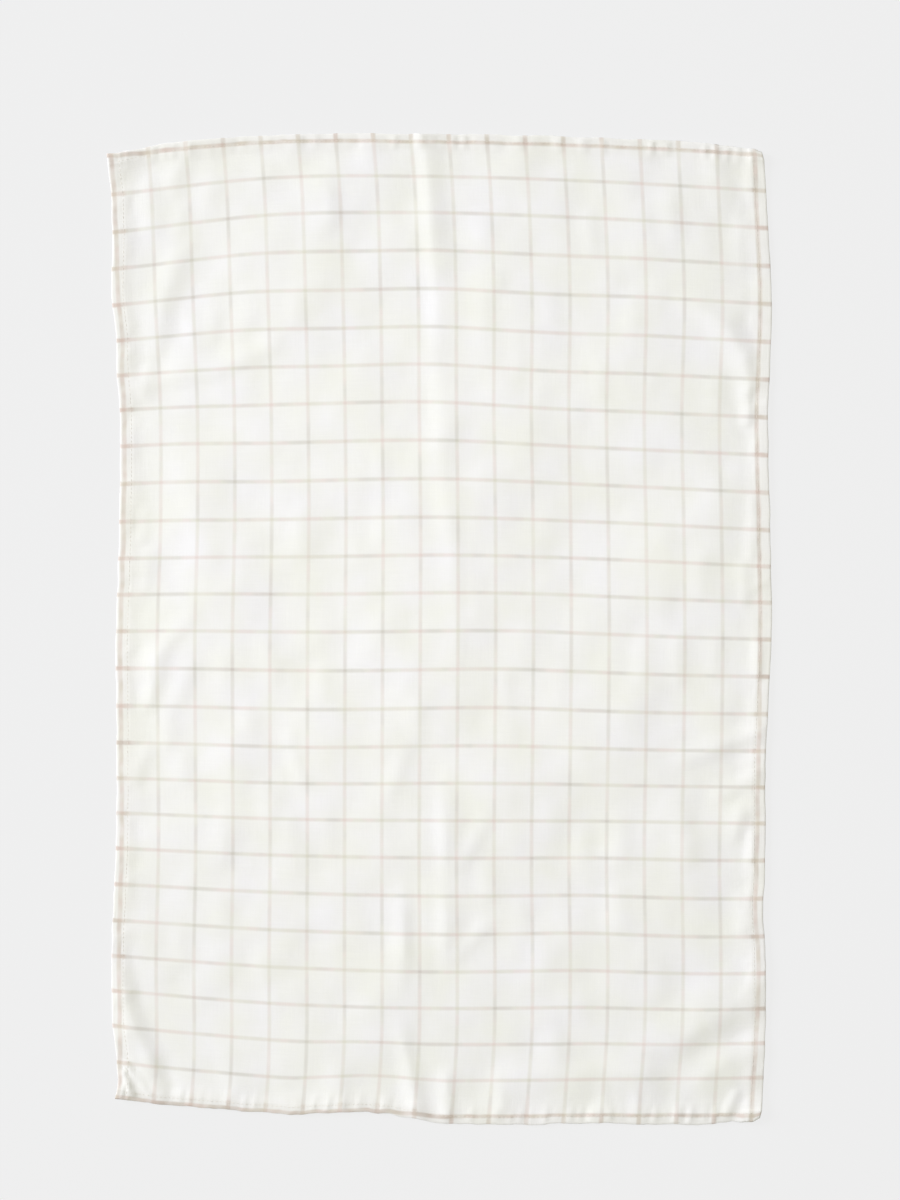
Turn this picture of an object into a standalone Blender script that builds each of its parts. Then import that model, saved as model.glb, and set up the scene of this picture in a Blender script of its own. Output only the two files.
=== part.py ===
"""Tea towel, laid out flat on a table, face up.

One panel of plain-woven linen with a narrow double-turned hem on all four sides. It is one solid: a thin
sheet whose underside lies on z = 0, lifting off only under its folds. Metres, +Z up, +Y to the top edge,
+X to the right edge, with the origin at the middle of the underside.
"""
import bmesh
import bpy
import numpy as np

MM = 0.001

# Driving sizes, in millimetres
CHECK = 27.0                # from one line of the woven check to the next, both ways
LINES_ACROSS = 17           # spaces between the first and the last lengthwise line
LINES_DOWN = 26             # spaces between the first and the last crosswise line
CLOTH_THICK = 1.2           # the sheet, with the air that loose linen holds under it
HEM_THICK = 2.0             # three layers of cloth at the hem
HEM_WIDE = 9.0              # finished width of the double-turned hem
STITCH_STEP = 2.5           # how quickly the hem's thickness falls to the cloth's
STAND_CLEAR = 0.02          # a lift under this is left flat on the table

# How the woven check lies, one row for each crosswise section.
# line: which crosswise line of the check, counted from the top edge
# y: height of that line on the centre of the towel
# left .. right: how far the line rises above y at the first line, the quarters and the last line
# x_first, x_mid, x_last: where the first, the middle and the last lengthwise line cross it
# hem_left, hem_right: cloth between the outermost lengthwise line and the fold of the side hem
SECTION_COLUMNS = ("line", "y", "left", "quarter", "three_quarter", "right",
                   "x_first", "x_mid", "x_last", "hem_left", "hem_right")
SECTIONS = (
    (0, 350.5, -10.0, 0.0, -3.0, -9.0, -235.5, -6.0, 227.5, 3.0, 6.0),
    (1, 325.5, -13.0, -1.0, -3.5, -10.0, -233.5, -4.0, 228.5, 2.0, 7.0),
    (4, 245.5, -12.5, -1.5, -5.0, -11.5, -230.5, -1.0, 231.5, 4.5, 8.0),
    (7, 163.5, -6.5, -2.0, -6.0, -11.0, -226.5, -0.5, 229.0, 3.0, 8.0),
    (10, 80.5, -3.5, -1.5, -3.5, -9.0, -226.5, 0.5, 230.5, 3.0, 8.0),
    (13, -0.5, -1.0, 0.0, -2.0, -6.5, -229.0, 0.5, 231.5, 3.0, 8.0),
    (16, -83.5, 2.0, 0.0, -1.5, -4.0, -228.5, 0.0, 230.5, 3.0, 5.0),
    (19, -164.5, 7.0, 2.0, 0.0, -1.0, -228.0, -0.5, 229.0, 4.0, 6.0),
    (22, -246.5, 11.5, 3.5, 1.5, 1.5, -230.0, 0.0, 230.0, 5.0, 5.0),
    (24, -298.5, 13.5, 3.0, 0.5, 2.0, -229.5, -0.5, 228.5, 5.0, 6.5),
    (25, -324.5, 14.0, 2.5, 1.0, 2.5, -229.5, -2.0, 226.5, 2.0, 7.0),
    (26, -350.5, 14.0, 3.0, 1.0, 1.0, -231.5, -4.0, 225.0, 1.0, 7.0),
)

# Cloth between the outermost crosswise lines and the folds of the end hems.
# across: part of the way from the first lengthwise line to the last
END_HEM_COLUMNS = ("across", "top", "bottom")
END_HEMS = (
    (0.00, 0.5, 0.7),
    (0.06, 3.8, 1.0),
    (0.25, 5.0, 1.0),
    (0.42, 6.0, 1.5),
    (0.55, 6.5, 6.0),
    (0.75, 6.5, 6.3),
    (0.95, 5.5, 6.0),
    (1.00, 3.0, 3.5),
)

# Small tugs that pull the cloth a little out of line: within `reach` of (x, y) it is moved by (right, up).
TUG_COLUMNS = ("x", "y", "reach", "right", "up")
TUGS = (
    (-52.0, -338.0, 62.0, 0.0, 3.6),
    (195.0, -235.0, 110.0, 0.0, -2.8),
    (-70.0, 230.0, 85.0, 0.0, -1.9),
    (-75.0, -30.0, 130.0, 0.0, -1.9),
    (-192.0, 125.0, 75.0, 0.0, 1.4),
    (-205.0, -315.0, 60.0, 0.0, -1.0),
    (62.0, 215.0, 100.0, 0.0, -1.8),
    (150.0, -40.0, 110.0, 0.0, -1.5),
    (234.0, -200.0, 30.0, -1.8, 0.0),
    (-234.0, 212.0, 26.0, 1.8, 0.0),
)

# Folds that stand up from the table: a ridge runs from (x0, y0) to (x1, y1), reaches `wide` to each side
# of that line, and is `high0` high at its start and `high1` at its end.
FOLD_COLUMNS = ("x0", "y0", "x1", "y1", "wide", "high0", "high1")
FOLDS = (
    (-10.0, 372.0, 6.0, 60.0, 13.0, 3.6, 2.0),          # pressed centre fold, upper half
    (6.0, 70.0, 4.0, -120.0, 13.0, 2.0, 1.0),           # the same fold as it fades
    (0.0, -110.0, 1.0, -250.0, 13.0, 1.4, 2.4),         # and as it returns
    (-4.0, -235.0, -19.0, -372.0, 15.0, 1.8, 3.2),      # it runs out at the bottom hem
    (-231.0, 325.0, -196.0, 352.0, 13.0, 2.4, 1.2),     # pulls from the left hem
    (-228.0, 285.0, -190.0, 322.0, 14.0, 2.2, 0.8),
    (-226.0, 205.0, -192.0, 272.0, 14.0, 2.0, 0.8),
    (-224.0, 160.0, -120.0, 186.0, 15.0, 1.6, 0.8),
    (-228.0, -20.0, -198.0, 32.0, 14.0, 2.2, 0.8),
    (-229.0, -84.0, -186.0, -52.0, 14.0, 1.8, 0.8),
    (-232.0, -338.0, -206.0, -268.0, 15.0, 3.4, 1.2),   # bottom left corner
    (204.0, 346.0, 226.0, 318.0, 13.0, 1.6, 2.2),       # top right corner
    (190.0, 268.0, 230.0, 222.0, 15.0, 1.0, 2.6),       # pulls from the right hem
    (222.0, 190.0, 224.0, 30.0, 12.0, 2.0, 1.2),
    (204.0, -102.0, 234.0, -76.0, 14.0, 1.0, 2.2),
    (150.0, -322.0, 224.0, -262.0, 17.0, 1.4, 2.6),     # bottom right corner
    (196.0, -350.0, 216.0, -318.0, 14.0, 2.2, 1.6),
    (-90.0, 300.0, -76.0, 276.0, 15.0, 1.6, 1.2),       # a dimple left of the centre fold
)

# Where the sheet has its lines of vertices between the hems, as (start, end, count) in millimetres from
# the left edge and from the top edge: close at the centre fold, wider apart on the flat beside it.
FINISHED_WIDE = 470.0
FINISHED_LONG = 700.0
COLUMN_RUNS = ((22.0, 206.0, 13), (212.0, 258.0, 8), (266.0, 448.0, 13))
ROW_RUNS = ((23.0, 677.0, 50),)

LINEN = (0.90, 0.89, 0.86, 1.0)
LINEN_ROUGH = 0.9


def column(table, names, name):
    """One named column of a table as an array."""
    return np.array([row[names.index(name)] for row in table], dtype=float)


def smooth_through(stations, values, at):
    """A smooth curve through values given at rising stations, straight on past its ends."""
    slopes = np.gradient(values, stations)
    span = np.clip(np.searchsorted(stations, at) - 1, 0, len(stations) - 2)
    start, step = stations[span], stations[span + 1] - stations[span]
    part = (at - start) / step
    inside = np.clip(part, 0.0, 1.0)
    square, cube = inside ** 2, inside ** 3
    curve = ((2 * cube - 3 * square + 1) * values[span] + (cube - 2 * square + inside) * step * slopes[span]
             + (3 * square - 2 * cube) * values[span + 1] + (cube - square) * step * slopes[span + 1])
    past = part - inside
    return curve + past * step * np.where(past > 0.0, slopes[span + 1], slopes[span])


def along(name, line):
    """A column of SECTIONS, read at any crosswise line of the check."""
    return smooth_through(column(SECTIONS, SECTION_COLUMNS, "line"),
                          column(SECTIONS, SECTION_COLUMNS, name), line)


def end_hem(name, across):
    """A column of END_HEMS, read at any part of the way across."""
    return smooth_through(column(END_HEMS, END_HEM_COLUMNS, "across"),
                          column(END_HEMS, END_HEM_COLUMNS, name), np.clip(across, 0.0, 1.0))


def blend_across(stations, columns, across):
    """Join the values of several columns, one value for each point, by a smooth curve across the towel."""
    joined = np.empty_like(across)
    for index, part in enumerate(across):
        joined[index] = smooth_through(stations, columns[:, index], np.array([part]))[0]
    return joined


def place(from_left, from_top):
    """Where a point of the finished towel lies, from its distances to the left and top edges."""
    down = from_top / FINISHED_LONG
    middle = from_left / FINISHED_WIDE
    line = down * LINES_DOWN
    for _ in range(2):
        hem_left, hem_right = along("hem_left", line), along("hem_right", line)
        across = (-hem_left + middle * (LINES_ACROSS * CHECK + hem_left + hem_right)) / (LINES_ACROSS * CHECK)
        top = -end_hem("top", across) / CHECK
        bottom = LINES_DOWN + end_hem("bottom", across) / CHECK
        line = top + down * (bottom - top)
    rises = np.array([along("left", line), along("quarter", line), 0.0 * line,
                      along("three_quarter", line), along("right", line)])
    y = along("y", line) + blend_across(np.array([0.0, 0.25, 0.5, 0.75, 1.0]), rises, across)
    reaches = np.array([along("x_first", line), along("x_mid", line), along("x_last", line)])
    x = blend_across(np.array([0.0, 0.5, 1.0]), reaches, across)
    right, up = np.zeros_like(x), np.zeros_like(y)
    for tug_x, tug_y, reach, move_right, move_up in TUGS:
        pull = np.clip(1.0 - ((x - tug_x) ** 2 + (y - tug_y) ** 2) / reach ** 2, 0.0, 1.0) ** 2
        right += pull * move_right
        up += pull * move_up
    return x + right, y + up


def lift(x, y):
    """Height of the folds above the table."""
    height = np.zeros_like(x)
    for x0, y0, x1, y1, wide, high0, high1 in FOLDS:
        run = np.array([x1 - x0, y1 - y0])
        length = np.hypot(*run)
        part = ((x - x0) * run[0] + (y - y0) * run[1]) / length ** 2
        nearest = np.clip(part, 0.0, 1.0)
        away = np.hypot(x - x0 - nearest * run[0], y - y0 - nearest * run[1]) / wide
        ridge = np.clip(1.0 - away ** 2, 0.0, 1.0) ** 2
        height = np.maximum(height, ridge * (high0 + nearest * (high1 - high0)))
    height[height < STAND_CLEAR] = 0.0
    return height


def stations(runs, full):
    """Distances of the lines of vertices from one edge to the other: the hem, the runs, the other hem."""
    hem = np.array([0.0, HEM_WIDE / 2, HEM_WIDE, HEM_WIDE + STITCH_STEP])
    between = [np.linspace(start, end, count) for start, end, count in runs]
    return np.concatenate([hem, *between, full - hem[::-1]])


def make_towel(collection):
    """The towel: a grid laid out by the tables above, then given its thickness."""
    columns, rows = stations(COLUMN_RUNS, FINISHED_WIDE), stations(ROW_RUNS, FINISHED_LONG)
    mesh = bpy.data.meshes.new("towel")
    grid = bmesh.new()
    bmesh.ops.create_grid(grid, x_segments=len(columns) - 1, y_segments=len(rows) - 1, size=0.5)
    grid.verts.ensure_lookup_table()
    column_number = [round((vert.co.x + 0.5) * (len(columns) - 1)) for vert in grid.verts]
    row_number = [round((0.5 - vert.co.y) * (len(rows) - 1)) for vert in grid.verts]
    from_left, from_top = columns[column_number], rows[row_number]
    x, y = place(from_left, from_top)
    z = lift(x, y)
    x -= (x.min() + x.max()) / 2
    y -= (y.min() + y.max()) / 2
    for vert, spot in zip(grid.verts, zip(x * MM, y * MM, z * MM)):
        vert.co = spot
    grid.to_mesh(mesh)
    grid.free()

    towel = bpy.data.objects.new("towel", mesh)
    collection.objects.link(towel)
    hem = towel.vertex_groups.new(name="hem")
    to_edge = np.minimum(np.minimum(from_left, FINISHED_WIDE - from_left),
                         np.minimum(from_top, FINISHED_LONG - from_top))
    fullness = np.clip((HEM_WIDE + STITCH_STEP - to_edge) / STITCH_STEP, 0.0, 1.0)
    for index, weight in enumerate(fullness):
        hem.add([index], float(weight), "REPLACE")

    solidify = towel.modifiers.new("Thickness", "SOLIDIFY")
    solidify.thickness = HEM_THICK * MM
    solidify.offset = 1.0
    solidify.vertex_group = hem.name
    solidify.thickness_vertex_group = CLOTH_THICK / HEM_THICK
    mesh.materials.append(linen())
    mesh.shade_smooth()
    return towel


def linen():
    """White linen, matt."""
    material = bpy.data.materials.new("linen")
    material.use_nodes = True
    shader = material.node_tree.nodes["Principled BSDF"]
    shader.inputs["Base Color"].default_value = LINEN
    shader.inputs["Roughness"].default_value = LINEN_ROUGH
    shader.inputs["Metallic"].default_value = 0.0
    material.diffuse_color = LINEN
    return material


def main():
    for leftover in list(bpy.data.objects):
        bpy.data.objects.remove(leftover, do_unlink=True)
    collection = bpy.data.collections.new("tea_towel")
    bpy.context.scene.collection.children.link(collection)
    make_towel(collection)


main()
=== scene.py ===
"""The finish of the tea towel: fine cloth with turned hems, its stitching, and the studio around it.

The cloth is cut flat, finer where it will crease, its four edges are turned under twice, and it is laid out
by the tables of sections and end hems that the solid has, with finer folds and creases of its own. Metres in
the scene, millimetres in the tables.
"""
import math

import bmesh
import bpy
import numpy as np
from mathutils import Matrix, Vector


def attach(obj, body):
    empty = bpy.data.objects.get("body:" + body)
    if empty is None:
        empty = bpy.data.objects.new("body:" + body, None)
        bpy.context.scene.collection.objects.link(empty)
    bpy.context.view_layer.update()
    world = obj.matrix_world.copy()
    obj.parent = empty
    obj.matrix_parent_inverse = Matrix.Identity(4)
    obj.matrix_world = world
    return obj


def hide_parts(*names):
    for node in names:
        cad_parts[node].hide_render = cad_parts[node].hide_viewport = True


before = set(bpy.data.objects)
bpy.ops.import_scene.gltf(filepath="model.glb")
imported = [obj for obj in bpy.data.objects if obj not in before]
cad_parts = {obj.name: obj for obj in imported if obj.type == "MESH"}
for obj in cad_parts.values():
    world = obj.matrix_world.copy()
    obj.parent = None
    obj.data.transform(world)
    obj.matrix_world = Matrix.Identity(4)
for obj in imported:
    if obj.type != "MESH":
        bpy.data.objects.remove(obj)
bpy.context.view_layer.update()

MM = 0.001

# --- The towel's own sizes, in millimetres ------------------------------------
CHECK = 27.0                # from one line of the woven check to the next, both ways
LINES_ACROSS = 17           # spaces between the first and the last lengthwise line
LINES_DOWN = 26             # spaces between the first and the last crosswise line
FINISHED_WIDE = 470.0
FINISHED_LONG = 700.0
SIDE_HEM = 9.0              # finished width of the double-turned hems down the sides
END_HEM = 6.5               # and of those at the top and the bottom
STITCH_BACK = 1.0           # the stitching runs this far inside a hem's inner edge
TUCKED_LESS = 2.5           # the cloth folded inside a hem is narrower than the hem by this
LAYER = 0.27                # one layer of pressed linen in a hem
CLOTH_THICK = 0.24
OUTER_TURN = 1.5            # cloth that goes round the outer fold
INNER_TURN = 1.0            # cloth that goes round the fold at the hem's inner edge

# How the woven check lies, one row for each crosswise section.
# line: which crosswise line of the check, counted from the top edge
# y: height of that line on the centre of the towel
# left .. right: how far the line rises above y at the first line, the quarters and the last line
# x_first, x_mid, x_last: where the first, the middle and the last lengthwise line cross it
# hem_left, hem_right: cloth between the outermost lengthwise line and the fold of the side hem
SECTION_COLUMNS = ("line", "y", "left", "quarter", "three_quarter", "right",
                   "x_first", "x_mid", "x_last", "hem_left", "hem_right")
SECTIONS = (
    (0, 350.5, -10, 0, -3, -9, -235.5, -6, 227.5, 3, 6),
    (1, 325.5, -13, -1, -3.5, -10, -233.5, -4, 228.5, 2, 7),
    (4, 245.5, -12.5, -1.5, -5, -11.5, -230.5, -1, 231.5, 4.5, 8),
    (7, 163.5, -6.5, -2, -6, -11, -226.5, -0.5, 229, 3, 8),
    (10, 80.5, -3.5, -1.5, -3.5, -9, -226.5, 0.5, 230.5, 3, 8),
    (13, -0.5, -1, 0, -2, -6.5, -229, 0.5, 231.5, 3, 8),
    (16, -83.5, 2, 0, -1.5, -4, -228.5, 0, 230.5, 3, 5),
    (19, -164.5, 7, 2, 0, -1, -228, -0.5, 229, 4, 6),
    (22, -246.5, 11.5, 3.5, 1.5, 1.5, -230, 0, 230, 5, 5),
    (24, -298.5, 13.5, 3, 0.5, 2, -229.5, -0.5, 228.5, 5, 6.5),
    (25, -324.5, 14, 2.5, 1, 2.5, -229.5, -2, 226.5, 2, 7),
    (26, -350.5, 14, 3, 1, 1, -231.5, -4, 225, 1, 7),
)

# Cloth between the outermost crosswise lines and the folds of the end hems.
# across: part of the way from the first lengthwise line to the last
END_HEM_COLUMNS = ("across", "top", "bottom")
END_HEMS = (
    (0.00, 0.5, 0.7),
    (0.06, 3.8, 1),
    (0.25, 5, 1),
    (0.42, 6, 1.5),
    (0.55, 6.5, 6),
    (0.75, 6.5, 6.3),
    (0.95, 5.5, 6),
    (1.00, 3, 3.5),
)

# Small tugs that pull the cloth a little out of line: within reach of (x, y) it is moved by (right, up).
# x, y, reach, right, up
TUGS = (
    (-52, -338, 62, 0, 3.6),
    (195, -235, 110, 0, -2.8),
    (-70, 230, 85, 0, -1.9),
    (-75, -30, 130, 0, -1.9),
    (-192, 125, 75, 0, 1.4),
    (-205, -315, 60, 0, -1),
    (62, 215, 100, 0, -1.8),
    (150, -40, 110, 0, -1.5),
    (234, -200, 30, -1.8, 0),
    (-234, 212, 26, 1.8, 0),
    (239, -357, 15, -1, 5),
    (236, 346, 10, -1, -2),
    (-233, -326, 13, 1.8, 0),
)

# Long folds, one row for each section of the fold: the crest's place, its height, and how far its left and
# its right slope reach.
# x, y, high, left, right
FOLDS = {
    "pressed centre fold": (
        (-10.5, 364, 1.15, 11, 15),
        (-6, 310, 1.1, 11, 16),
        (-4, 282, 1.05, 11, 17),
        (-1, 240, 0.85, 11, 22),
        (0.5, 198, 0.7, 11, 28),
        (3, 142, 0.65, 12, 26),
        (6, 100, 0.7, 15, 18),
        (8, 78, 0.75, 16, 12),
        (12, 52, 0.45, 14, 8),
        (13.5, 7, 0.35, 14, 7),
        (13, -50, 0.15, 14, 10),
    ),
    "centre fold where it returns": (
        (4, -110, 0.2, 10, 18),
        (5, -138, 1, 11, 20),
        (5.5, -165, 1, 11, 20),
        (4.5, -182, 0.45, 10, 20),
        (5, -198, 0.9, 10, 16),
        (5.5, -226, 1, 10, 22),
        (6, -255, 0.15, 8, 12),
    ),
    "second fold beside it": (
        (-25, -178, 0.2, 12, 9),
        (-25, -200, 0.8, 12, 9),
        (-25, -225, 1, 13, 9),
        (-25, -243, 0.7, 12, 9),
        (-28, -262, 0.2, 10, 8),
    ),
    "centre fold at the bottom hem": (
        (-28, -282, 0.2, 10, 9),
        (-24, -300, 1.1, 11, 11),
        (-19, -326, 1.25, 12, 11),
        (-15, -345, 1.15, 12, 11),
        (-13, -360, 1.3, 9, 9),
    ),
    "pull in from the upper left hem": (
        (-179, 280, 0.35, 12, 10),
        (-190, 260, 0.7, 14, 15),
        (-197, 240, 0.9, 17, 16),
        (-200.5, 215, 0.9, 17, 15),
        (-204, 198, 0.7, 15, 9),
    ),
    "low fold across the upper left": (
        (-214, 176, 0.5, 14, 9),
        (-163, 185, 0.75, 18, 10),
        (-121, 203, 0.6, 20, 10),
    ),
    "pull in from the lower left hem": (
        (-178, 7, 0.6, 16, 9),
        (-194, -8, 0.75, 16, 10),
        (-203, -21, 0.85, 16, 10),
        (-207, -52, 0.9, 14, 9),
    ),
    "bottom left corner": (
        (-228, -246, 0.5, 10, 10),
        (-225, -263, 1, 12, 12),
        (-218, -288, 1.7, 15, 13),
        (-210, -306, 1.9, 18, 14),
        (-203, -326, 1.6, 20, 13),
    ),
    "pull in from the upper right hem": (
        (176, 236, 0.5, 12, 9),
        (188, 231, 1, 14, 14),
        (206, 219, 1.5, 16, 18),
        (219, 198, 1.2, 14, 12),
        (223, 172, 0.8, 12, 7),
    ),
    "lean of the right hem": (
        (203, 128, 0.3, 22, 20),
        (202, 108, 0.8, 22, 26),
        (203, 86, 0.5, 20, 24),
    ),
    "pull up at the right hem": (
        (176, -95, 0.5, 14, 10),
        (202, -84, 1.2, 14, 12),
        (229, -75, 1.1, 13, 11),
    ),
    "bottom right corner": (
        (152, -302, 0.3, 20, 13),
        (170, -296, 1.1, 28, 17),
        (196, -281, 1.8, 34, 22),
        (222, -262, 1.6, 34, 24),
        (236, -250, 1, 30, 20),
    ),
    "bottom right corner, second fold": (
        (178, -334, 0.6, 18, 18),
        (190, -324, 1.1, 19, 24),
        (206, -312, 1.6, 19, 28),
        (226, -303, 1.5, 17, 32),
    ),
    "fall to the bottom hem": (
        (44, -326, 0.3, 14, 22),
        (96, -322, 0.9, 16, 28),
        (150, -320, 1.1, 16, 28),
    ),
}

# Short creases and dimples: each runs from (x0, y0) to (x1, y1), with its slopes' reach to the left and to
# the right, and its height.
# x0, y0, x1, y1, left, right, high
CREASES = (
    # top left
    (-181, 345, -190, 322, 14, 14, 0.6),
    (-208, 316, -207, 290, 12, 12, 0.6),
    (-183, 300, -186, 284, 10, 8, 0.4),
    (-163, 318, -166, 300, 13, 11, 0.4),
    (-181, 230, -176, 212, 9, 10, 0.45),
    (-137, 239, -137, 220, 12, 12, 0.45),
    (-161, 226, -163, 210, 10, 10, 0.4),
    (-143, 208, -138, 196, 14, 12, 0.4),
    (-103, 240, -103, 222, 12, 12, 0.35),
    (-208, 186, -211, 172, 9, 12, 0.7),
    (-80, 312, -79, 297, 26, 14, 1.15),
    (-124, 330, -127, 312, 14, 12, 0.35),
    # beside the centre fold
    (6, 266, 42, 250, 13, 10, 0.65),
    (32, 296, 33, 278, 12, 12, 0.35),
    (33, 236, 33, 219, 12, 12, 0.35),
    (56, 206, 58, 190, 12, 10, 0.3),
    (-41, 128, -41, 66, 9, 6, 0.35),
    # top right
    (81, 240, 81, 224, 12, 12, 0.35),
    (108, 294, 110, 276, 10, 12, 0.4),
    (140, 238, 140, 221, 12, 12, 0.4),
    (116, 188, 116, 168, 9, 10, 0.35),
    (73, 185, 73, 168, 10, 10, 0.3),
    (166, 306, 170, 284, 14, 12, 0.4),
    (199, 337, 203, 306, 14, 16, 0.6),
    (224, 337, 225, 320, 8, 7, 0.35),
    (216, 300, 218, 262, 10, 14, 0.4),
    (201, 175, 201, 161, 14, 10, 0.5),
    (222, 170, 222.5, 150, 9, 6, 0.7),
    # middle left
    (-176, 122, -176, 66, 28, 40, 0.6),
    (-174, 52, -175, 16, 28, 36, 0.6),
    (-208.5, 52, -209.5, 30, 10, 12, 0.5),
    (-210, 84, -212, 66, 9, 9, 0.4),
    (-180, -31, -186, -48, 12, 12, 0.5),
    (-194, -60, -195, -80, 10, 12, 0.5),
    (-99, 80, -98, 60, 14, 16, 0.5),
    (-141, 52, -145, 32, 18, 16, 0.5),
    (-123, -7, -121, -36, 14, 12, 0.55),
    (-155, -20, -155, -38, 12, 10, 0.45),
    (-138, -60, -136, -80, 10, 11, 0.45),
    (-149, -83, -149, -107, 30, 20, 0.75),
    (-209, -88, -216, -106, 10, 10, 0.6),
    (-182, -92, -182, -106, 14, 9, 0.4),
    (-107, -80, -98, -109, 9, 9, 0.5),
    (-84, -30, -82, -48, 10, 10, 0.3),
    # middle
    (-15, -58, -15, -76, 14, 10, 0.5),
    (-24, -86, -33, -114, 11, 10, 0.5),
    (48, -33, 49, -51, 7, 9, 0.3),
    (63, -4, 63, -24, 12, 12, 0.3),
    (87, -31, 87, -50, 10, 11, 0.35),
    # middle right
    (148, -8, 147, -33, 12, 9, 0.45),
    (172.5, -8, 172.5, -35, 11, 10, 0.55),
    (200, -8, 199, -33, 10, 11, 0.45),
    (188, 48, 188, 30, 14, 14, 0.45),
    (226, 93, 226, 75, 8, 6, 0.45),
    (227, 71, 225, 53, 8, 6, 0.35),
    (219.5, 44, 219.5, 22, 9, 9, 0.45),
    (229.5, -11, 229.5, -33, 7, 6, 0.5),
    (202, -119, 228, -108, 11, 10, 0.7),
    # lower left
    (-154, -139, -154, -160, 17, 18, 0.75),
    (-107, -137, -107, -156, 12, 11, 0.4),
    (-79, -140, -79, -160, 12, 11, 0.35),
    (-124, -116, -120, -132, 12, 12, 0.45),
    (-156, -195, -156, -211, 14, 14, 0.4),
    (-185, -220, -185, -237, 12, 12, 0.35),
    (-128, -238, -120, -266, 14, 14, 0.4),
    (-72, -318, -70, -342, 16, 12, 0.6),
    (-150, -306, -146, -330, 16, 14, 0.5),
    # the fan of creases in the bottom left corner
    (-224, -312, -211, -330, 4.5, 4, 0.9),
    (-219, -309, -207, -321, 4.5, 4, 0.7),
    (-226, -319, -220, -334, 4, 4, 0.8),
    (-216, -318, -208, -334, 4, 4, 0.7),
    # lower middle
    (34, -139, 17, -168, 12, 9, 0.6),
    (33, -214, 14, -234, 11, 10, 0.6),
    (36, -173, 36, -190, 12, 11, 0.4),
    (60, -200, 60, -216, 13, 12, 0.35),
    (6, -322, 6.5, -348, 10, 9, 0.9),
    (84, -296, 85, -318, 16, 15, 0.45),
    # lower right
    (130, -140, 130, -165, 16, 14, 0.5),
    (178, -138, 178, -164, 13, 13, 0.55),
    (103, -146, 103, -163, 12, 12, 0.35),
    (216.5, -134, 213.5, -146, 11, 10, 0.7),
    (226, -150, 225, -165, 8, 6, 0.5),
    (217, -195, 217, -216, 10, 11, 0.55),
    (152, -238, 158, -258, 18, 20, 0.45),
    (128, -192, 130, -212, 14, 13, 0.4),
    (213, -334, 208, -346, 7, 8, 0.7),
    (44, -322, 46, -344, 10, 8, 0.5),
    (118, -326, 120, -350, 10, 8, 0.6),
    (142, -330, 143, -352, 9, 7, 0.5),
)

# How much each hem puckers along its stitching: the height of the puckers, the cloth from one to the next,
# how far they lean as they run in, and how far in they die out.
# hem, high, spacing, lean, reach, seed
PUCKERS = (
    ("top", 0.60, 3.8, 0.15, 9, 3),
    ("bottom", 0.52, 3.6, -0.10, 12, 5),
    ("left", 0.36, 9.5, 0.55, 14, 7),
    ("right", 0.36, 9, -0.45, 14, 11),
)

# How high each hem stands on top of that.
# hem, at its fold, at its stitching
HEM_LEANS = (
    ("top", 0.35, 0),
    ("bottom", 0, 0.25),
    ("left", 0.10, 0.05),
    ("right", 0, -0.12),
)

# How far each hem's edge is drawn in here and there, and the cloth from one such place to the next.
# hem, deep, spacing, seed
SCALLOPS = (
    ("top", 0.9, 8, 41),
    ("bottom", 1.1, 8, 42),
    ("left", 0.7, 15, 43),
    ("right", 0.7, 16, 44),
)

# Soft rolls all over the cloth: cloth from one to the next, crosswise and lengthwise, how far they are
# turned in radians, and their height.
# crosswise, lengthwise, turned, high, seed
ROLLS = (
    (80, 110, 0.30, 1.35, 21),
    (34, 42, -0.35, 0.82, 22),
    (19, 22, 0.45, 0.66, 23),
    (10, 12, -0.15, 0.22, 24),
)


# --- Curves through the tables ------------------------------------------------
CURVE_VALUES = 512          # random values that a random curve goes through before they come round again
CURVE_START = 200.0         # the value that it starts from, so that it can run backwards too
ROLL_VALUES = 64            # the same for a random surface, each way
ROLL_START = 24.0


def column(table, names, name):
    """One named column of a table as an array."""
    return np.array([row[names.index(name)] for row in table], dtype=float)


def smooth_through(stations, values, at):
    """A smooth curve through values given at rising stations, straight on past its ends."""
    slopes = np.gradient(values, stations)
    span = np.clip(np.searchsorted(stations, at) - 1, 0, len(stations) - 2)
    start, step = stations[span], stations[span + 1] - stations[span]
    part = (at - start) / step
    inside = np.clip(part, 0.0, 1.0)
    square, cube = inside ** 2, inside ** 3
    curve = ((2 * cube - 3 * square + 1) * values[span] + (cube - 2 * square + inside) * step * slopes[span]
             + (3 * square - 2 * cube) * values[span + 1] + (cube - square) * step * slopes[span + 1])
    past = part - inside
    return curve + past * step * np.where(past > 0.0, slopes[span + 1], slopes[span])


def along(name, line):
    """A column of SECTIONS, read at any crosswise line of the check."""
    return smooth_through(column(SECTIONS, SECTION_COLUMNS, "line"),
                          column(SECTIONS, SECTION_COLUMNS, name), line)


def end_hem(name, across):
    """A column of END_HEMS, read at any part of the way across."""
    return smooth_through(column(END_HEMS, END_HEM_COLUMNS, "across"),
                          column(END_HEMS, END_HEM_COLUMNS, name), np.clip(across, 0.0, 1.0))


def blend_across(stations, columns, across):
    """Join the values of several columns by a smooth curve across the towel."""
    shares = np.eye(len(stations))
    return sum(smooth_through(np.array(stations), share, across) * values
               for share, values in zip(shares, columns))


def fade(part):
    """From 0 to 1 with level ends as part goes from 0 to 1."""
    part = np.clip(part, 0.0, 1.0)
    return part * part * (3.0 - 2.0 * part)


def random_curve(at, spacing, seed):
    """A smooth random curve between 0 and 1 with a turning point about every `spacing`."""
    values = np.random.default_rng(seed).random(CURVE_VALUES)
    place_on = at / spacing + CURVE_START
    index = np.floor(place_on).astype(int)
    share = fade(place_on - index)
    return values[index % CURVE_VALUES] * (1.0 - share) + values[(index + 1) % CURVE_VALUES] * share


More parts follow.
